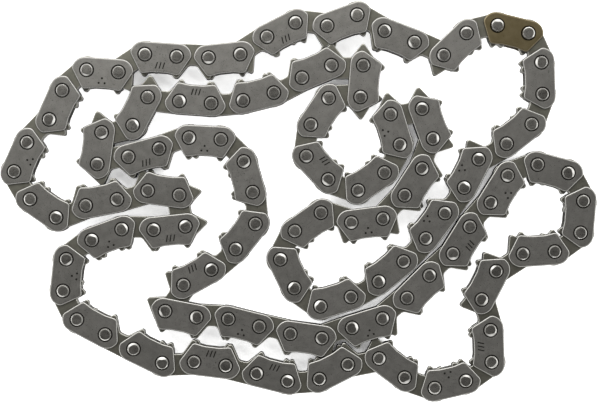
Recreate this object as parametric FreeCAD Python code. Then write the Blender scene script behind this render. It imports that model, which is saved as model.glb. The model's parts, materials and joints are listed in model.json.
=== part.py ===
"""Endless inverted-tooth (silent) timing chain, laid on its side in one loose tangle.

Units are millimetres and +Z is up. The chain rests on its lower pin ends at z = 0, and every
pin stands along Z. Links are numbered along the loop from the connecting link, which is
link 0. Link n spans pivots n and n + 1. Even links are outer links: two guide plates
outside, two tooth plates between them and a pin at each end. Odd links are inner links:
three tooth plates that turn on the pins of their neighbours. The teeth point to the right
of the direction of travel.
"""
import FreeCAD, Part
import math
import os

# sizes
pitch = 8.0                 # pivot to pivot
link_count = 122            # links, and so pivots, in the whole loop
pin_radius = 1.5
running_gap = 0.04          # radial, between a pin and the inner links' plates
guide_thickness = 1.0
tooth_plate_thickness = 1.25
side_gap = 0.06             # between one plate and the next in the stack
pin_stand_out = 0.55        # pin end beyond the guide plate
connecting_pin_extra = 0.35     # the connecting link's pins stand this much higher on top
pin_end_chamfer = 0.4
seat_chamfer = 0.2          # funnel round each pin hole in a guide plate's outer face
rim_chamfer = 0.12          # broken outer edge of a guide plate

# half outlines, in pitches from the middle of the plate: x along the link, y toward its back,
# then the radius of that corner. The other half mirrors this one.
guide_half_outline = [
    (0.84, 0.416, 0.40),    # shoulder
    (0.985, 0.045, 0.15),   # widest point
    (0.60, -0.61, 0.07),    # foot
    (0.22, -0.545, 0.60),   # hollow between the feet
]
tooth_half_outline = [
    (0.844, 0.416, 0.38),   # shoulder
    (0.965, 0.03, 0.20),    # widest point
    (0.895, -0.16, 0.30),   # start of the outer flank
    (0.50, -0.745, 0.08),   # tooth tip, straight below the pin
    (0.13, -0.26, 0.14),    # crotch between the two teeth
]

# direction of each link in whole degrees from +X, anticlockwise, from link 0 to link 119.
# Links 120 and 121 are found from the gap that is left, so that the loop closes.
lay = [
    # round the right-hand bow from the connecting link
    346, 294, 272, 250, 218, 209,
    # down the inner diagonal to the hook in the middle
    243, 233, 233, 226, 219, 209, 197,
    # round the hook and up to the short spur
    145, 116, 63, 35, 342, 7, 47, 57, 70, 110,
    # back down and round the ring in the middle
    190, 287, 241, 214, 160, 133, 82, 56, 2,
    # over the hairpin and left along the second row
    85, 180, 203, 208, 194, 185, 176, 173,
    # the two short turns on the left, then back to the right
    242, 193, 262, 13, 15, 20, 357,
    # down to the point at the lower left
    316, 286, 275, 232, 220, 209, 235,
    # along the lower row and up the outer diagonal
    349, 357, 346, 347, 352, 19, 17, 40, 45, 43, 58, 49, 58, 20,
    # round the right-hand eye and down to the bottom corner
    345, 298, 265, 216, 184, 213, 243, 286, 272, 216, 193,
    # left along the bottom
    161, 143, 191, 207, 184, 166, 166, 173, 182, 154, 153, 152,
    # round the left-hand eye and out to the left edge
    116, 84, 37, 20, 359, 6, 101, 172, 196, 191, 202,
    # up the left side
    145, 120, 66, 46, 66, 40,
    # right along the top
    356, 34, 356, 358, 6, 33, 27, 354, 20, 330, 339, 336,
]

# the links that swing, and the two runs of the coil that stays where it lies
swinging_links = [0, 1, 2, 3, 4] + list(range(102, link_count))
resting_runs = {"upper_coil": range(5, 54), "lower_coil": range(54, 102)}

# heights in the stack, from the floor up
layer_heights = [pin_stand_out]
for below in [guide_thickness] + [tooth_plate_thickness] * 5:
    layer_heights.append(layer_heights[-1] + below + side_gap)
guide_layers = [0, 6]
outer_tooth_layers = [2, 4]
inner_tooth_layers = [1, 3, 5]
pin_length = layer_heights[6] + guide_thickness + pin_stand_out


def pivots():
    """The pivot points as they lie, before the loop is centred."""
    points = [(0.0, 0.0)]
    for degrees in lay:
        x, y = points[-1]
        turn = math.radians(degrees)
        points.append((x + pitch * math.cos(turn), y + pitch * math.sin(turn)))
    # the last pivot is one pitch from both its neighbours, on the back side of the chain
    (ax, ay), (bx, by) = points[-1], points[0]
    gap = math.hypot(bx - ax, by - ay)
    rise = math.sqrt(pitch ** 2 - (gap / 2) ** 2)
    along_x, along_y = (bx - ax) / gap, (by - ay) / gap
    points.append(((ax + bx) / 2 - rise * along_y, (ay + by) / 2 + rise * along_x))
    return points


def outline(half):
    """Closed wire in the XY plane through a mirrored half outline, with its corners rounded."""
    corners = half + [(-x, y, radius) for x, y, radius in reversed(half)]
    points = [FreeCAD.Vector(x * pitch, y * pitch, 0) for x, y, radius in corners]
    arcs = []
    for i, corner in enumerate(points):
        to_last = (points[i - 1] - corner).normalize()
        to_next = (points[(i + 1) % len(points)] - corner).normalize()
        half_angle = to_last.getAngle(to_next) / 2
        radius = corners[i][2] * pitch
        reach = radius / math.tan(half_angle)
        bisector = (to_last + to_next).normalize()
        middle = corner + bisector * (radius / math.sin(half_angle) - radius)
        arcs.append((corner + to_last * reach, middle, corner + to_next * reach))
    edges = []
    for i, (start, middle, end) in enumerate(arcs):
        edges.append(Part.Arc(start, middle, end).toShape())
        edges.append(Part.makeLine(end, arcs[(i + 1) % len(arcs)][0]))
    return Part.Wire(edges)


def plate(half, thickness, hole_radius):
    """Flat plate from z = 0 up, with a hole half a pitch to each side of its middle."""
    body = Part.Face(outline(half)).extrude(FreeCAD.Vector(0, 0, thickness))
    for side in (-1, 1):
        centre = FreeCAD.Vector(side * pitch / 2, 0, 0)
        body = body.cut(Part.makeCylinder(hole_radius, thickness, centre))
    return body.Solids[0]


def edges_at(body, z, round_ones):
    """The whole circles, or else the other edges, that lie flat at one height."""
    return [edge for edge in body.Edges if edge.isClosed() == round_ones
            and all(abs(vertex.Point.z - z) < 1e-6 for vertex in edge.Vertexes)]


def guide_plate(outer_z):
    """Guide plate with its rim broken and its pin holes funnelled on the face at outer_z."""
    body = plate(guide_half_outline, guide_thickness, pin_radius)
    body = body.makeChamfer(seat_chamfer, edges_at(body, outer_z, True))
    return body.makeChamfer(rim_chamfer, edges_at(body, outer_z, False)).Solids[0]


def pin(bottom, top, showing_ends):
    """Pin from one height to another, chamfered at the ends that show."""
    body = Part.makeCylinder(pin_radius, top - bottom, FreeCAD.Vector(0, 0, bottom))
    rims = [edge for z in showing_ends for edge in edges_at(body, z, True)]
    return body.makeChamfer(pin_end_chamfer, rims).Solids[0]


def placed(shape, x, y, z=0.0, degrees=0.0):
    """Copy of a shape turned about Z and moved."""
    turned = shape.copy()
    turned.rotate(FreeCAD.Vector(0, 0, 0), FreeCAD.Vector(0, 0, 1), degrees)
    turned.translate(FreeCAD.Vector(x, y, z))
    return turned


upper_guide = guide_plate(guide_thickness)
lower_guide = guide_plate(0.0)
outer_tooth_plate = plate(tooth_half_outline, tooth_plate_thickness, pin_radius)
inner_tooth_plate = plate(tooth_half_outline, tooth_plate_thickness, pin_radius + running_gap)
plain_pin = pin(0.0, pin_length, [0.0, pin_length])
tall_length = pin_length + connecting_pin_extra
connecting_pin = pin(0.0, tall_length, [0.0, tall_length])
lower_stub = pin(0.0, layer_heights[0] + guide_thickness, [0.0])
upper_stub = pin(layer_heights[6], tall_length, [tall_length])

pivot = pivots()


def stack(link, shapes_by_layer):
    """One link's plates, each at the height of its layer."""
    (ax, ay), (bx, by) = pivot[link], pivot[(link + 1) % link_count]
    degrees = math.degrees(math.atan2(by - ay, bx - ax))
    return [placed(shape, (ax + bx) / 2, (ay + by) / 2, layer_heights[layer], degrees)
            for layer, shape in shapes_by_layer]


def guides(link):
    return stack(link, list(zip(guide_layers, [lower_guide, upper_guide])))


def outer_tooth_plates(link):
    return stack(link, [(layer, outer_tooth_plate) for layer in outer_tooth_layers])


def inner_tooth_plates(link):
    return stack(link, [(layer, inner_tooth_plate) for layer in inner_tooth_layers])


def pins(link):
    return [placed(plain_pin, *pivot[link]), placed(plain_pin, *pivot[link + 1])]


nodes = {}
for run, links in resting_runs.items():
    outer_links = [link for link in links if link % 2 == 0]
    inner_links = [link for link in links if link % 2 == 1]
    nodes[run + "_guide_plates"] = [s for link in outer_links for s in guides(link)]
    nodes[run + "_outer_tooth_plates"] = [
        s for link in outer_links for s in outer_tooth_plates(link)]
    nodes[run + "_inner_tooth_plates"] = [
        s for link in inner_links for s in inner_tooth_plates(link)]
    nodes[run + "_pins"] = [s for link in outer_links for s in pins(link)]

for link in swinging_links:
    name = "link_%03d" % link
    if link == 0:
        nodes["connecting_link_guide_plates"] = guides(link)
        nodes["connecting_link_tooth_plates"] = outer_tooth_plates(link)
        nodes["connecting_link_pin"] = [placed(connecting_pin, *pivot[0])]
        nodes["connecting_link_pin_stubs"] = [
            placed(lower_stub, *pivot[1]), placed(upper_stub, *pivot[1])]
    elif link % 2 == 0:
        nodes[name + "_guide_plates"] = guides(link)
        nodes[name + "_tooth_plates"] = outer_tooth_plates(link)
        nodes[name + "_pins"] = pins(link)
    else:
        nodes[name + "_tooth_plates"] = inner_tooth_plates(link)

# centre the loop over the origin
everything = Part.Compound([shape for shapes in nodes.values() for shape in shapes])
box = everything.optimalBoundingBox(False)
to_centre = FreeCAD.Vector(-box.Center.x, -box.Center.y, 0)

os.makedirs("parts", exist_ok=True)
for name, shapes in nodes.items():
    shape = Part.Compound(shapes)
    shape.translate(to_centre)
    shape.exportStep("parts/" + name + ".step")
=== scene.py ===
"""Looks of an endless inverted-tooth (silent) chain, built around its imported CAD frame.

The frame gives the place of every pin and the height of every plate. Each CAD node is replaced
by one finished piece made of the same plates or pins: plates with rolled-over edges, countersunk
pin seats and stamped tally marks, and pins with unevenly ground ends. Each plate and pin
carries attributes that the steel materials read. Shapes are worked out in millimetres and
turned into metres when a mesh is made.
"""
import json
import math

import bmesh
import bpy
import numpy as np
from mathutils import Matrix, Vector

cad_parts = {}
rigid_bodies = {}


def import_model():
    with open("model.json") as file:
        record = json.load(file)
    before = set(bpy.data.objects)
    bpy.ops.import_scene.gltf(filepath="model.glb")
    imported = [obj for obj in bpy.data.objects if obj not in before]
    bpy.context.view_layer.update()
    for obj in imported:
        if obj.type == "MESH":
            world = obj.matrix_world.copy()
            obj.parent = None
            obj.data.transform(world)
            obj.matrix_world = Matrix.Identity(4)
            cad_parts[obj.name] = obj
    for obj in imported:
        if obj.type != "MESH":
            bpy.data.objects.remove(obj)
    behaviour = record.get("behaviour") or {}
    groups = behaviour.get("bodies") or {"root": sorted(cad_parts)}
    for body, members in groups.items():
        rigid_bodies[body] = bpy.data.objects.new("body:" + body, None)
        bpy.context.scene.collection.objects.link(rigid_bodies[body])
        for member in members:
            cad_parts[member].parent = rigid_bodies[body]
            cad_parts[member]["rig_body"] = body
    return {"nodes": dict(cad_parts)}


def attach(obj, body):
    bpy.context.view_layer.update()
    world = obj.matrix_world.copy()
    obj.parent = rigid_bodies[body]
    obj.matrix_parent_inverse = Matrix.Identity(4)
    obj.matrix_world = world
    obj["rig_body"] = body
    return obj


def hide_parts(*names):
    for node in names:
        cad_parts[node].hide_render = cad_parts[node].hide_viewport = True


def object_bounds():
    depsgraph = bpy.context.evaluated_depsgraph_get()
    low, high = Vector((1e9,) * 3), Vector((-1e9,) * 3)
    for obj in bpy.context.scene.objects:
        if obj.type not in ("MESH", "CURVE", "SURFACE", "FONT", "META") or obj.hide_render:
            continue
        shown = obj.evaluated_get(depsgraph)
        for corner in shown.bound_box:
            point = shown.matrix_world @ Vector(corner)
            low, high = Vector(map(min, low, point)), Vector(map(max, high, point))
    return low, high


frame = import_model()
cad_low, cad_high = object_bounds()
chain_middle = (cad_low + cad_high) / 2

MM = 0.001      # metres in a millimetre

# chain
PITCH = 8.0
LINK_COUNT = 122
CONNECTING_LINK = 0
COIL_RUNS = {"upper_coil": range(5, 54), "lower_coil": range(54, 102)}

# plate outlines as half outlines in pitches from the middle of the plate: x along the link,
# y toward its back, then the radius of that corner. The other half mirrors this one. Tumbling
# has rounded the guide plates' feet and widest points a little more than the CAD plates'.
GUIDE_HALF = [
    (0.84, 0.416, 0.40),    # shoulder
    (0.985, 0.045, 0.19),   # widest point
    (0.60, -0.61, 0.14),    # foot
    (0.22, -0.545, 0.60),   # hollow between the feet
]
TOOTH_HALF = [
    (0.844, 0.416, 0.38),   # shoulder
    (0.965, 0.03, 0.20),    # widest point
    (0.895, -0.16, 0.30),   # start of the outer flank
    (0.50, -0.745, 0.08),   # tooth tip
    (0.13, -0.26, 0.14),    # crotch between the two teeth
]
CORNER_STEP = math.radians(8)   # most that an outline turns between two points of a corner
CORNER_LEAST = 0.6              # smallest radius of a corner, in millimetres

# pins and their holes
PIN_RADIUS = 1.5
RUNNING_GAP = 0.04
CIRCLE_POINTS = 40
HOLE_RADIUS = PIN_RADIUS / math.cos(math.pi / CIRCLE_POINTS)    # flats of the hole clear the pin
# a pin's end from its middle outward: depth, radius, share of the unevenness, wear with painted
# highlight, painted shade
PIN_END = [
    (0.000, 0.70, 0.0, 0.0, 0.0),           # ground flat
    (0.000, 1.18, 1.0, 0.0, 0.0),
    (0.006, 1.25, 1.0, 0.0, 0.8),           # painted shade at the flat's rim
    (0.024, 1.30, 1.0, 0.5, 0.4),
    (0.060, 1.34, 1.0, 1.0, 0.0),           # chamfer, worn, with a painted highlight
    (0.310, 1.52, 0.1, 1.0, 0.0),
    (0.390, 1.575, 0.0, 0.4, 0.0),
    (0.480, 1.60, 0.0, 0.0, 0.0),           # widened by the staking
    (0.600, 1.58, 0.0, 0.0, 1.0),
    (0.800, PIN_RADIUS, 0.0, 0.0, 1.0),     # down in its seat, in painted shade
]
PIN_CROWN = 0.006               # the middle of a pin's flat stands out by this
CUT_DEPTH = 0.36                # most that a flat is cut away on one side, as a share of its radius
CUT_WIDTH = 0.75                # radians over which that cut fades
RIPPLE = (0.01, 0.035)          # least and most ripple of a flat's rim, likewise a share
TILT = 0.014                    # most slope of a flat

# stamped marks, cut into the upper guide plate of some links on the tooth side
TALLY_LINKS = {110, 114, 38, 44, 96, 52, 64, 28, 76, 84, 86}
DOT_LINKS = {108, 104, 92, 94, 46, 24, 18, 8, 6, 66, 56, 60, 78}
MARK_LEVELS = [(0.0, 0.0, 0.0), (0.01, 0.02, 1.0), (0.05, 0.09, 1.0)]   # inset, depth, painted shade
STROKE_STEPS = 6                # steps round each half-circle end of a stroke
# x, y, length, width and slant in degrees of each stroke. A dot has no length.
TALLY = [(x, -2.55, 1.75, 0.30, 76) for x in (-0.9, 0.0, 0.9)]
DOTS = [(x, y, 0.0, 0.56, 0) for x, y in ((-0.75, -3.05), (0.75, -3.05), (0.0, -1.85))]

# each pin's shape, pin's tone and plate's tone is drawn from a number of its own
PIN_SHAPE_SEED = 8000
PIN_TONE_SEED = 9000
PATTERN_SPREAD = 400.0          # millimetres of surface pattern that the pieces are scattered over
SHARP_FROM = math.radians(38)


# ---------------------------------------------------------------- what the frame says

def corners_mm(node):
    """All corner points of a CAD node, in millimetres."""
    vertices = frame["nodes"][node].data.vertices
    flat = np.empty(len(vertices) * 3, np.float32)
    vertices.foreach_get("co", flat)
    return flat.reshape(-1, 3).astype(float) / MM


def pin_centres(node):
    """Centres of the pins of a node. A pin's corners follow each other in the mesh, and the
    first that is more than a pin's width away belongs to the next pin."""
    points = corners_mm(node)[:, :2]
    centres = []
    start = 0
    while start < len(points):
        away = np.hypot(*(points[start:] - points[start]).T) > 2.1 * PIN_RADIUS
        stop = start + int(np.argmax(away)) if away.any() else len(points)
        one_pin = points[start:stop]
        centres.append((one_pin.min(0) + one_pin.max(0)) / 2)
        start = stop
    return centres


def plate_spans(node):
    """Lower and upper face heights of a node's plates, from the lowest plate up."""
    levels = np.unique(np.round(corners_mm(node)[:, 2], 3))
    plates = 2 if "guide" in node else len(levels) // 2
    return [(group[0], group[-1]) for group in np.array_split(levels, plates)]


def first_link(node):
    """Number of the first link that a node belongs to."""
    for run, links in COIL_RUNS.items():
        if node.startswith(run):
            return links[0]
    return CONNECTING_LINK if node.startswith("connecting") else int(node.split("_")[1])


def first_pin(node):
    """Pivot of the first pin of a node. Pins belong to the even links."""
    if node == "connecting_link_pin_stubs":
        return CONNECTING_LINK + 1
    return first_link(node) + first_link(node) % 2


def links_of(node):
    """The links whose plates a node holds."""
    for run, links in COIL_RUNS.items():
        if node.startswith(run):
            inner = 1 if "inner" in node else 0
            return [link for link in links if link % 2 == inner]
    return [first_link(node)]


def pins_by_pivot(node):
    """Pivot number and centre of each pin of a node. The two stubs share one pivot."""
    centres = pin_centres(node)
    if node == "connecting_link_pin_stubs":
        centres = centres[:1]
    return [(first_pin(node) + i, centre) for i, centre in enumerate(centres)]


pivot = {}
for node in frame["nodes"]:
    if "pin" in node:
        pivot.update(pins_by_pivot(node))
for i in range(LINK_COUNT):
    spacing = np.hypot(*(pivot[i] - pivot[(i + 1) % LINK_COUNT]))
    assert abs(spacing - PITCH) < 0.02, "pins are out of order at pivot %d" % i


# ---------------------------------------------------------------- plate and pin shapes

def outline(half, inset):
    """Points round a mirrored half outline moved inward, as many at any inset."""
    corners = half + [(-x, y, radius) for x, y, radius in reversed(half)]
    spots = [Vector((x * PITCH, y * PITCH)) for x, y, radius in corners]
    points = []
    for i, spot in enumerate(spots):
        to_last = (spots[i - 1] - spot).normalized()
        to_next = (spots[(i + 1) % len(spots)] - spot).normalized()
        half_angle = to_last.angle(to_next) / 2
        bisector = (to_last + to_next).normalized()
        # the half outline runs clockwise, so a right turn is a corner that sticks out
        sticks_out = to_last.cross(to_next) > 0
        side = 1 if sticks_out else -1
        moved = spot + bisector * (side * inset / math.sin(half_angle))
        radius = max(corners[i][2] * PITCH - side * inset, CORNER_LEAST)
        centre = moved + bisector * (radius / math.sin(half_angle))
        turn = math.pi - 2 * half_angle
        steps = max(2, math.ceil(turn / CORNER_STEP))
        outward = -bisector
        for step in range(steps + 1):
            angle = side * turn * (0.5 - step / steps)
            direction = Vector((outward.x * math.cos(angle) - outward.y * math.sin(angle),
                                outward.x * math.sin(angle) + outward.y * math.cos(angle)))
            points.append(centre + direction * radius)
    return points


def circle(x, y, radius):
    """Points round a circle."""
    turns = [2 * math.pi * i / CIRCLE_POINTS for i in range(CIRCLE_POINTS)]
    return [Vector((x + radius * math.cos(t), y + radius * math.sin(t))) for t in turns]


def stroke(x, y, length, width, slant, inset=0.0):
    """Round-ended slot outline, or a dot where the length is 0."""
    along = Vector((math.cos(math.radians(slant)), math.sin(math.radians(slant))))
    across = Vector((-along.y, along.x))
    radius = width / 2 - inset
    points = []
    for end in (1, -1):
        for step in range(STROKE_STEPS + 1):
            angle = math.pi * (step / STROKE_STEPS - 0.5)
            spot = along * (end * (length - width) / 2 if length else 0.0)
            spot = spot + end * radius * (along * math.cos(angle) + across * math.sin(angle))
            points.append(Vector((x, y)) + spot)
        if not length:
            points.pop()
    return points


class Shape:
    """Corner points, faces, and the wear with painted highlight and the painted shade at each
    corner of one plate or pin.
    """

    def __init__(self, points, triangles, quads, wear_and_highlight, painted_shade):
        self.points = np.array(points, float).reshape(-1, 3)
        self.triangles = np.array(triangles, int).reshape(-1, 3)
        self.quads = np.array(quads, int).reshape(-1, 4)
        self.wear_and_highlight = np.array(wear_and_highlight, float)
        self.painted_shade = np.array(painted_shade, float)


def plate_shape(half, edge, seat, marks=()):
    """Plate with a hole at each pivot. Edge and seat list its outer side and its holes from
    bottom to top, as (inset or radius, height, wear with painted highlight, painted shade). The
    innermost rows lie flat on the faces and keep the painted highlight and shade from spreading
    over them."""
    bm = bmesh.new()
    wear_and_highlight = bm.verts.layers.float.new("wear_and_highlight")
    painted_shade = bm.verts.layers.float.new("painted_shade")

    def ring(points, z, wear_and_highlight_value, painted_shade_value):
        made = []
        for point in points:
            vertex = bm.verts.new((point.x, point.y, z))
            vertex[wear_and_highlight] = wear_and_highlight_value
            vertex[painted_shade] = painted_shade_value
            made.append(vertex)
        return made

    def wall(lower, upper):
        for i in range(len(lower)):
            bm.faces.new((lower[i - 1], lower[i], upper[i], upper[i - 1]))

    def tube(rings):
        for lower, upper in zip(rings, rings[1:]):
            wall(lower, upper)
        return rings[0], rings[-1]

    bottoms, tops = [], []
    tubes = [[ring(outline(half, inset), *rest) for inset, *rest in edge]]
    for side in (-1, 1):
        tubes.append([ring(circle(side * PITCH / 2, 0.0, radius), *rest) for radius, *rest in seat])
    for rings in tubes:
        bottom, top = tube(rings)
        bottoms.append(bottom)
        tops.append(top)
    top_z = edge[-1][1]
    floors = []
    # each mark sinks to a floor in painted shade
    for mark in marks:
        mouth, side, floor = [ring(stroke(*mark, inset=inset), top_z - depth, 0.0, mark_painted_shade)
                              for inset, depth, mark_painted_shade in MARK_LEVELS]
        wall(side, mouth)
        wall(floor, side)
        floors.append(floor)
        tops.append(mouth)
    for face in [bottoms, tops] + [[floor] for floor in floors]:
        edges = [bm.edges.get((loop[i - 1], loop[i])) for loop in face for i in range(len(loop))]
        bmesh.ops.triangle_fill(bm, use_beauty=True, edges=edges, normal=(0, 0, 1))
    bmesh.ops.recalc_face_normals(bm, faces=bm.faces)
    bm.verts.index_update()
    corners = [[v.index for v in face.verts] for face in bm.faces]
    shape = Shape([v.co for v in bm.verts],
                  [c for c in corners if len(c) == 3], [c for c in corners if len(c) == 4],
                  [v[wear_and_highlight] for v in bm.verts], [v[painted_shade] for v in bm.verts])
    bm.free()
    return shape


def flipped(shape):
    """The same shape mirrored top to bottom, so that its marked face looks down."""
    turned = Shape(shape.points * (1, 1, -1), shape.triangles[:, ::-1], shape.quads[:, ::-1],
                   shape.wear_and_highlight, shape.painted_shade)
    turned.points[:, 2] -= turned.points[:, 2].min()
    return turned


def guide_shape(thickness, marks=()):
    """Guide plate: pressed from one side, so its outer face rolls over toward the rim."""
    t = thickness
    edge = [
        (0.30, 0.0, 0.0, 0.0),                      # inner face
        (0.10, 0.0, 0.0, 0.3),
        (0.03, 0.03, 0.2, 0.6),
        (0.0, 0.10, 0.0, 0.9),                      # sheared side, in painted shade
        (0.0, t - 0.32, 0.0, 1.0),
        (0.03, t - 0.21, 0.0, 1.0),                 # roll-over, worn higher up, with a painted highlight there
        (0.08, t - 0.13, 0.3, 0.6),
        (0.14, t - 0.07, 1.0, 0.0),
        (0.20, t - 0.035, 1.0, 0.0),
        (0.28, t - 0.010, 0.4, 0.0),
        (0.38, t, 0.0, 0.0),                        # outer face
        (0.60, t, 0.0, 0.0),
    ]
    seat = [
        (HOLE_RADIUS, 0.0, 0.0, 0.0),
        (HOLE_RADIUS, t - 0.30, 0.0, 1.0),
        (PIN_RADIUS + 0.18, t - 0.20, 0.0, 1.0),    # funnel in painted shade
        (PIN_RADIUS + 0.30, t - 0.06, 0.0, 1.0),
        (PIN_RADIUS + 0.37, t - 0.012, 0.0, 0.85),
        (PIN_RADIUS + 0.41, t, 0.0, 0.3),           # outer face
        (PIN_RADIUS + 0.46, t, 0.0, 0.0),
        (PIN_RADIUS + 0.58, t, 0.0, 0.0),
    ]
    return plate_shape(GUIDE_HALF, edge, seat, marks)


def tooth_shape(thickness, hole_radius):
    """Tooth plate: small broken edges, the upper one worn, with a painted highlight."""
    t = thickness
    edge = [
        (0.22, 0.0, 0.0, 0.2),                      # lower face
        (0.10, 0.0, 0.3, 0.4),
        (0.03, 0.03, 0.5, 0.5),
        (0.0, 0.10, 0.0, 0.8),                      # sheared side, in painted shade
        (0.0, t - 0.18, 0.0, 0.8),
        (0.03, t - 0.09, 0.5, 0.4),
        (0.08, t - 0.035, 1.0, 0.0),                # worn edge with a painted highlight
        (0.15, t - 0.008, 1.0, 0.0),
        (0.24, t, 0.0, 0.0),                        # upper face
    ]
    seat = [
        (hole_radius + 0.25, 0.0, 0.0, 0.0),
        (hole_radius, 0.0, 0.0, 1.0),
        (hole_radius, t, 0.0, 1.0),
        (hole_radius + 0.25, t, 0.0, 0.0),
    ]
    return plate_shape(TOOTH_HALF, edge, seat)


def pin_end(z_end, inward, rng):
    """Rings of a pin's end from its middle outward. Inward is 1 at the bottom, -1 at the top."""
    turns = 2 * math.pi * np.arange(CIRCLE_POINTS) / CIRCLE_POINTS
    from_cut = (turns - rng.uniform(0, 2 * math.pi)) % (2 * math.pi) - math.pi
    cut = rng.uniform(0.0, CUT_DEPTH) * np.exp(-(from_cut / CUT_WIDTH) ** 2)
    ripple = rng.uniform(*RIPPLE) * np.sin(3 * turns + rng.uniform(0, 6))
    tilt = rng.uniform(-TILT, TILT, 2)
    rings = []
    for depth, radius, share, wear_and_highlight, painted_shade in PIN_END:
        radii = radius * (1 + (ripple - cut) * share)
        x, y = radii * np.cos(turns), radii * np.sin(turns)
        z = z_end + inward * depth + share * (tilt[0] * x + tilt[1] * y)
        rings.append((np.stack([x, y, z], 1), wear_and_highlight, painted_shade))
    return rings


def pin_shape(bottom, top, seed):
    """Pin with staked ends, each a chamfer round an uneven ground flat."""
    rng = np.random.default_rng(seed)
    rings = pin_end(bottom, 1, rng)
    rings += pin_end(top, -1, rng)[::-1]
    points = [ring for ring, wear_and_highlight, painted_shade in rings]
    count = CIRCLE_POINTS
    centre_low = points[0].mean(0) - (0, 0, PIN_CROWN)
    centre_high = points[-1].mean(0) + (0, 0, PIN_CROWN)
    quads, triangles = [], []
    for k in range(len(points) - 1):
        for i in range(count):
            j = (i + 1) % count
            quads.append((k * count + i, k * count + j, (k + 1) * count + j, (k + 1) * count + i))
    last = (len(points) - 1) * count
    low, high = len(points) * count, len(points) * count + 1
    for i in range(count):
        j = (i + 1) % count
        triangles.append((j, i, low))
        triangles.append((last + i, last + j, high))
    corners = np.concatenate(points + [[centre_low], [centre_high]])
    wears_and_highlights = np.repeat([wear_and_highlight for ring, wear_and_highlight, painted_shade in rings], count)
    painted_shades = np.repeat([painted_shade for ring, wear_and_highlight, painted_shade in rings], count)
    return Shape(corners, triangles, quads, np.append(wears_and_highlights, (0, 0)), np.append(painted_shades, (0, 0)))


# ---------------------------------------------------------------- making the pieces

def link_place(link):
    """Middle of a link's two pivots and its direction as a turn matrix."""
    a, b = pivot[link], pivot[(link + 1) % LINK_COUNT]
    along = (b - a) / np.hypot(*(b - a))
    turn = np.array([[along[0], -along[1], 0], [along[1], along[0], 0], [0, 0, 1]])
    return (a + b) / 2, turn


def piece_from(name, parts, material):
    """One mesh object from (shape, turn matrix, place, number) parts. The number makes the
    part's tone and shifts its pattern, so that no two look the same."""
    points, quads, triangles, local, tones, wears_and_highlights, painted_shades = [], [], [], [], [], [], []
    count = 0
    for shape, turn, place, number in parts:
        rng = np.random.default_rng(number)
        points.append((shape.points @ turn.T + place) * MM)
        quads.append(shape.quads + count)
        triangles.append(shape.triangles + count)
        local.append(shape.points + rng.uniform(0, PATTERN_SPREAD, 3))
        tones.append(np.full(len(shape.points), rng.uniform()))
        wears_and_highlights.append(shape.wear_and_highlight)
        painted_shades.append(shape.painted_shade)
        count += len(shape.points)
    faces = np.concatenate(quads).tolist() + np.concatenate(triangles).tolist()
    mesh = bpy.data.meshes.new(name)
    mesh.from_pydata(np.concatenate(points).tolist(), [], faces)
    # the painted highlight and painted shade masks and the tone go to the materials as attributes
    for key, values in (("wear_and_highlight", wears_and_highlights), ("painted_shade", painted_shades), ("tone", tones)):
        attribute = mesh.attributes.new(key, "FLOAT", "POINT")
        attribute.data.foreach_set("value", np.concatenate(values).astype(np.float32))
    pattern = mesh.attributes.new("local", "FLOAT_VECTOR", "POINT")
    pattern.data.foreach_set("vector", np.concatenate(local).astype(np.float32).ravel())
    mesh.shade_smooth()
    mesh.set_sharp_from_angle(angle=SHARP_FROM)
    mesh.materials.append(material)
    piece = bpy.data.objects.new(name, mesh)
    bpy.context.scene.collection.objects.link(piece)
    normals = piece.modifiers.new("flat faces stay flat", "WEIGHTED_NORMAL")
    normals.keep_sharp = True
    return piece


# ---------------------------------------------------------------- steel

def node_maker(owner):
    """Function that adds nodes to the node tree of a material or world."""
    tree = owner.node_tree

    def make(kind, inputs=None, **settings):
        """Adds a node with its settings. An input that is a socket is linked, a value is set."""
        node = tree.nodes.new(kind)
        for key, value in settings.items():
            setattr(node, key, value)
        for key, value in (inputs or {}).items():
            if isinstance(value, bpy.types.NodeSocket):
                tree.links.new(value, node.inputs[key])
            else:
                node.inputs[key].default_value = value
        return node
    return make


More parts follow.
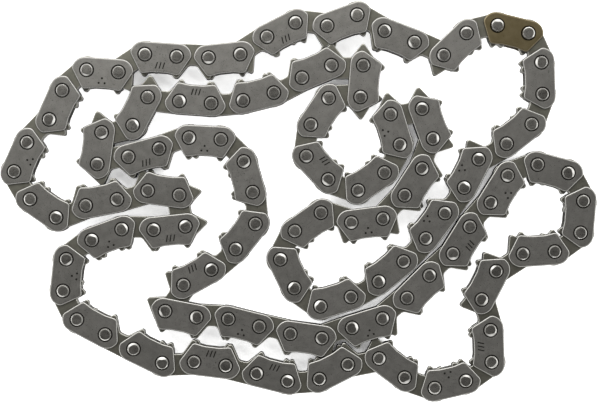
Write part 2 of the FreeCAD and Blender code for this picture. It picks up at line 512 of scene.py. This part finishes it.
def steel(name, dark, light, wear_and_highlight_colour, painted_shade_colour, roughness, polish_gloss, specks):
    """Tumbled metal. Dark and light are the ends of its mottling, the wear and highlight colour is
    that of rims worn by tumbling with a painted highlight on them, and the painted shade colour is
    painted shade in seats, stamps and sheared sides. Polish gloss is what full wear takes off the
    roughness. Specks is how dark the nicks are."""
    material = bpy.data.materials.new(name)
    material.use_nodes = True
    make = node_maker(material)
    shader = material.node_tree.nodes["Principled BSDF"]
    local = make("ShaderNodeAttribute", attribute_name="local").outputs["Vector"]
    tone = make("ShaderNodeAttribute", attribute_name="tone").outputs["Fac"]
    # masks of the painted highlight on worn rims and of the painted shade
    wear_and_highlight = make("ShaderNodeAttribute", attribute_name="wear_and_highlight").outputs["Fac"]
    painted_shade = make("ShaderNodeAttribute", attribute_name="painted_shade").outputs["Fac"]

    def noise(scale, detail, stretch=(1, 1, 1)):
        where = make("ShaderNodeMapping", {"Vector": local, "Scale": stretch}).outputs[0]
        return make("ShaderNodeTexNoise", {"Vector": where, "Scale": scale, "Detail": detail,
                                           "Roughness": 0.55}).outputs["Fac"]

    def spread(value, from_low, from_high, low, high):
        return make("ShaderNodeMapRange", {"Value": value, "From Min": from_low,
                    "From Max": from_high, "To Min": low, "To Max": high}).outputs[0]

    def maths(operation, a, b):
        return make("ShaderNodeMath", {0: a, 1: b}, operation=operation).outputs[0]

    def mix(share, a, b):
        return make("ShaderNodeMix", {0: share, 6: a, 7: b}, data_type="RGBA").outputs[2]

    clouds = noise(0.45, 3.0)                       # soft patches a few millimetres wide
    grain = noise(5.0, 4.0)                         # tumbling texture
    scratches = noise(1.6, 2.0, (0.35, 7.0, 1.0))   # fine marks roughly along the plate
    dents = noise(1.9, 1.0)

    # colour: mottled by clouds, the piece's own tone and grain, then nicks, the painted highlight
    # on worn rims and the painted shade
    patches = maths("ADD", spread(clouds, 0.35, 0.65, 0.0, 0.45), maths("MULTIPLY", tone, 0.35))
    patches = maths("ADD", patches, spread(grain, 0.3, 0.7, 0.0, 0.2))
    nick = spread(dents, 0.70, 0.76, 0.0, specks)
    colour = mix(patches, dark, light)
    colour = mix(nick, colour, painted_shade_colour)
    colour = mix(wear_and_highlight, colour, wear_and_highlight_colour)
    colour = mix(painted_shade, colour, painted_shade_colour)

    # roughness: varied by grain and scratches, less where worn, more under the painted shade
    rough = maths("ADD", spread(grain, 0.3, 0.7, roughness - 0.05, roughness + 0.05),
                  spread(scratches, 0.3, 0.7, -0.03, 0.04))
    rough = maths("SUBTRACT", rough, maths("MULTIPLY", wear_and_highlight, polish_gloss))
    rough = maths("ADD", rough, maths("MULTIPLY", painted_shade, 0.2))

    # relief: a hundredth of a millimetre of grain and scratches, with the nicks sunk in
    height = maths("ADD", maths("MULTIPLY", grain, 0.5), maths("MULTIPLY", scratches, 0.35))
    height = maths("SUBTRACT", height, maths("MULTIPLY", nick, 1.5))
    bump = make("ShaderNodeBump", {"Strength": 0.6, "Distance": 0.01 * MM, "Height": height})

    links = material.node_tree.links
    links.new(colour, shader.inputs["Base Color"])
    links.new(rough, shader.inputs["Roughness"])
    links.new(bump.outputs[0], shader.inputs["Normal"])
    shader.inputs["Metallic"].default_value = 1.0
    return material


FINISHES = {
    "guide_plate": steel(
        "guide_plate_steel", dark=(0.133, 0.129, 0.118, 1), light=(0.197, 0.191, 0.176, 1),
        wear_and_highlight_colour=(0.27, 0.265, 0.25, 1), painted_shade_colour=(0.018, 0.017, 0.015, 1),
        roughness=0.32, polish_gloss=0.06, specks=0.5),
    "tooth_plate": steel(
        "tooth_plate_steel", dark=(0.100, 0.097, 0.079, 1), light=(0.155, 0.151, 0.125, 1),
        wear_and_highlight_colour=(0.27, 0.265, 0.24, 1), painted_shade_colour=(0.014, 0.013, 0.011, 1),
        roughness=0.34, polish_gloss=0.05, specks=0.35),
    "pin": steel(
        "pin_steel", dark=(0.065, 0.062, 0.056, 1), light=(0.162, 0.156, 0.142, 1),
        wear_and_highlight_colour=(0.40, 0.393, 0.373, 1), painted_shade_colour=(0.015, 0.014, 0.012, 1),
        roughness=0.30, polish_gloss=0.08, specks=0.4),
    "connecting_guide_plate": steel(
        "bronze_coating", dark=(0.088, 0.070, 0.036, 1), light=(0.125, 0.102, 0.058, 1),
        wear_and_highlight_colour=(0.15, 0.128, 0.085, 1), painted_shade_colour=(0.016, 0.013, 0.008, 1),
        roughness=0.34, polish_gloss=0.05, specks=0.3),
}


# ---------------------------------------------------------------- the chain

def thickness_of(span):
    """Thickness of a plate, to the micrometre."""
    return round(float(span[1] - span[0]), 3)


def finish_of(node):
    """Name of a node's finish, which picks the material of its piece."""
    if node == "connecting_link_guide_plates":
        return "connecting_guide_plate"
    if "guide" in node:
        return "guide_plate"
    return "pin" if "pin" in node else "tooth_plate"


lower_guide_span, upper_guide_span = plate_spans("connecting_link_guide_plates")
guide_thickness = thickness_of(upper_guide_span)
upper_guides = {marks: guide_shape(guide_thickness, marks)
                for marks in ((), tuple(TALLY), tuple(DOTS))}
lower_guide = flipped(upper_guides[()])
tooth_thickness = thickness_of(plate_spans("connecting_link_tooth_plates")[0])
outer_tooth = tooth_shape(tooth_thickness, HOLE_RADIUS)
inner_tooth = tooth_shape(tooth_thickness, HOLE_RADIUS + RUNNING_GAP)


def shape_for(link, layer, node):
    """Shape of the plate that a node has for a link in one of its layers."""
    if "guide" not in node:
        return inner_tooth if link % 2 else outer_tooth
    if layer == 0:
        return lower_guide
    if link in TALLY_LINKS:
        return upper_guides[tuple(TALLY)]
    return upper_guides[tuple(DOTS) if link in DOT_LINKS else ()]


def plates_of(node):
    """Parts of a plates node: one for each link and layer."""
    parts = []
    for link in links_of(node):
        middle, turn = link_place(link)
        for layer, (low, high) in enumerate(plate_spans(node)):
            number = link * 10 + layer + (5 if "guide" in node else 0)  # one for each plate
            parts.append((shape_for(link, layer, node), turn, (*middle, low), number))
    return parts


def pins_of(node):
    """Parts of a pins node."""
    heights = corners_mm(node)[:, 2]
    bottom, top = heights.min(), heights.max()
    spans = [(bottom, top)]
    if node == "connecting_link_pin_stubs":
        spans = [(bottom, lower_guide_span[1]), (upper_guide_span[0], top)]
    parts = []
    for number, centre in pins_by_pivot(node):
        for low, high in spans:
            shape = pin_shape(low, high, PIN_SHAPE_SEED + number)
            parts.append((shape, np.eye(3), (*centre, 0.0), PIN_TONE_SEED + number))
    return parts


for node, cad_object in frame["nodes"].items():
    finish = finish_of(node)
    parts = pins_of(node) if finish == "pin" else plates_of(node)
    piece = piece_from(node + "_finished", parts, FINISHES[finish])
    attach(piece, cad_object["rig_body"])
    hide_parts(node)


# ---------------------------------------------------------------- floor, light and camera

FLOOR_REACH = 6.0               # metres from the middle of the floor to each side
FLOOR_GAP = 0.02                # millimetres from the floor to the lowest pin ends
CARD_COLOUR = (0.92, 0.92, 0.915, 1)
GAP_REACH = 10.0                # millimetres round a point that may shade it in a gap
GAP_OPENNESS = (0.03, 0.09)     # painted shade in gaps: the card's glow goes from none to full between these
# glow of the light tent by height of the direction, from the horizon to straight up
TENT = [(0.0, 0.30), (0.30, 0.75), (0.50, 1.0), (0.66, 1.0), (0.88, 0.14), (1.0, 0.10)]
TENT_SIDES = (0.7, 1.5)         # that glow is multiplied by these toward -Y and +Y
TENT_STRENGTH = 2.8
VIEW_WIDTH = 150.47             # millimetres of the upper faces that the picture's width takes in
VIEW_OFFSET = (0.331, -0.173)   # from the middle of the chain to the middle of the picture
VIEW_DISTANCE = 900.0           # above the upper faces
SENSOR_WIDTH = 36.0


def card_with_painted_gap_shade(name):
    """White card that glows pale beside the chain, with painted shade that dims its glow in the
    narrowest gaps only.
    """
    material = bpy.data.materials.new(name)
    material.use_nodes = True
    make = node_maker(material)
    # painted shade: the card's glow drops where little is open round a point
    openness = make("ShaderNodeAmbientOcclusion", {"Distance": GAP_REACH * MM}, samples=16)
    glow = make("ShaderNodeMapRange", {"Value": openness.outputs["AO"],
                "From Min": GAP_OPENNESS[0], "From Max": GAP_OPENNESS[1]})
    shader = material.node_tree.nodes["Principled BSDF"]
    material.node_tree.links.new(glow.outputs[0], shader.inputs["Emission Strength"])
    shader.inputs["Base Color"].default_value = CARD_COLOUR
    shader.inputs["Roughness"].default_value = 0.8
    shader.inputs["Emission Color"].default_value = CARD_COLOUR
    return material


def lay_floor():
    """Square card under the chain."""
    mesh = bpy.data.meshes.new("floor")
    r = FLOOR_REACH
    mesh.from_pydata([(-r, -r, 0), (r, -r, 0), (r, r, 0), (-r, r, 0)], [], [(0, 1, 2, 3)])
    mesh.materials.append(card_with_painted_gap_shade("white_card"))
    floor = bpy.data.objects.new("floor", mesh)
    floor.location.z = -FLOOR_GAP * MM
    bpy.context.scene.collection.objects.link(floor)


def light_tent():
    """Soft light from all round, brightest at middle heights and toward the back."""
    world = bpy.data.worlds.new("light_tent")
    world.use_nodes = True
    bpy.context.scene.world = world
    make = node_maker(world)
    direction = make("ShaderNodeTexCoord").outputs["Generated"]
    sides = make("ShaderNodeSeparateXYZ", {0: direction})
    ramp = make("ShaderNodeValToRGB", {"Fac": sides.outputs["Z"]})
    ramp.color_ramp.interpolation = "EASE"
    stops = ramp.color_ramp.elements
    for height, glow in TENT[1:-1]:
        stops.new(height)
    for stop, (height, glow) in zip(stops, TENT):
        stop.color = (glow, glow, glow, 1)
    toward_back = make("ShaderNodeMapRange", {"Value": sides.outputs["Y"], "From Min": -0.8,
                       "From Max": 0.8, "To Min": TENT_SIDES[0], "To Max": TENT_SIDES[1]})
    glow = make("ShaderNodeMath", {0: ramp.outputs["Color"], 1: toward_back.outputs[0]},
                operation="MULTIPLY")
    background = world.node_tree.nodes["Background"]
    world.node_tree.links.new(glow.outputs[0], background.inputs["Color"])
    background.inputs["Strength"].default_value = TENT_STRENGTH


def softbox(name, azimuth, elevation, distance, width, height, watts):
    """Area light aimed at the chain from a compass direction, 0 being +X and 90 +Y."""
    light = bpy.data.lights.new(name, "AREA")
    light.shape = "RECTANGLE"
    light.size = width
    light.size_y = height
    light.energy = watts
    a, e = math.radians(azimuth), math.radians(elevation)
    away = Vector((math.cos(a) * math.cos(e), math.sin(a) * math.cos(e), math.sin(e)))
    lamp = bpy.data.objects.new(name, light)
    lamp.location = chain_middle + away * distance
    lamp.rotation_mode = "QUATERNION"
    lamp.rotation_quaternion = away.to_track_quat("Z", "Y")
    bpy.context.scene.collection.objects.link(lamp)


def camera_above():
    """Camera that looks straight down on the chain."""
    data = bpy.data.cameras.new("camera")
    data.sensor_width = SENSOR_WIDTH
    data.lens = SENSOR_WIDTH * VIEW_DISTANCE / VIEW_WIDTH
    data.clip_start = 0.01
    camera = bpy.data.objects.new("camera", data)
    camera.location = (chain_middle.x + VIEW_OFFSET[0] * MM, chain_middle.y + VIEW_OFFSET[1] * MM,
                       (upper_guide_span[1] + VIEW_DISTANCE) * MM)
    bpy.context.scene.collection.objects.link(camera)
    bpy.context.scene.camera = camera


lay_floor()
light_tent()
softbox("back_softbox", azimuth=105, elevation=62, distance=0.45, width=0.34, height=0.20,
        watts=0.85)
camera_above()
bpy.context.scene.view_settings.view_transform = "Standard"
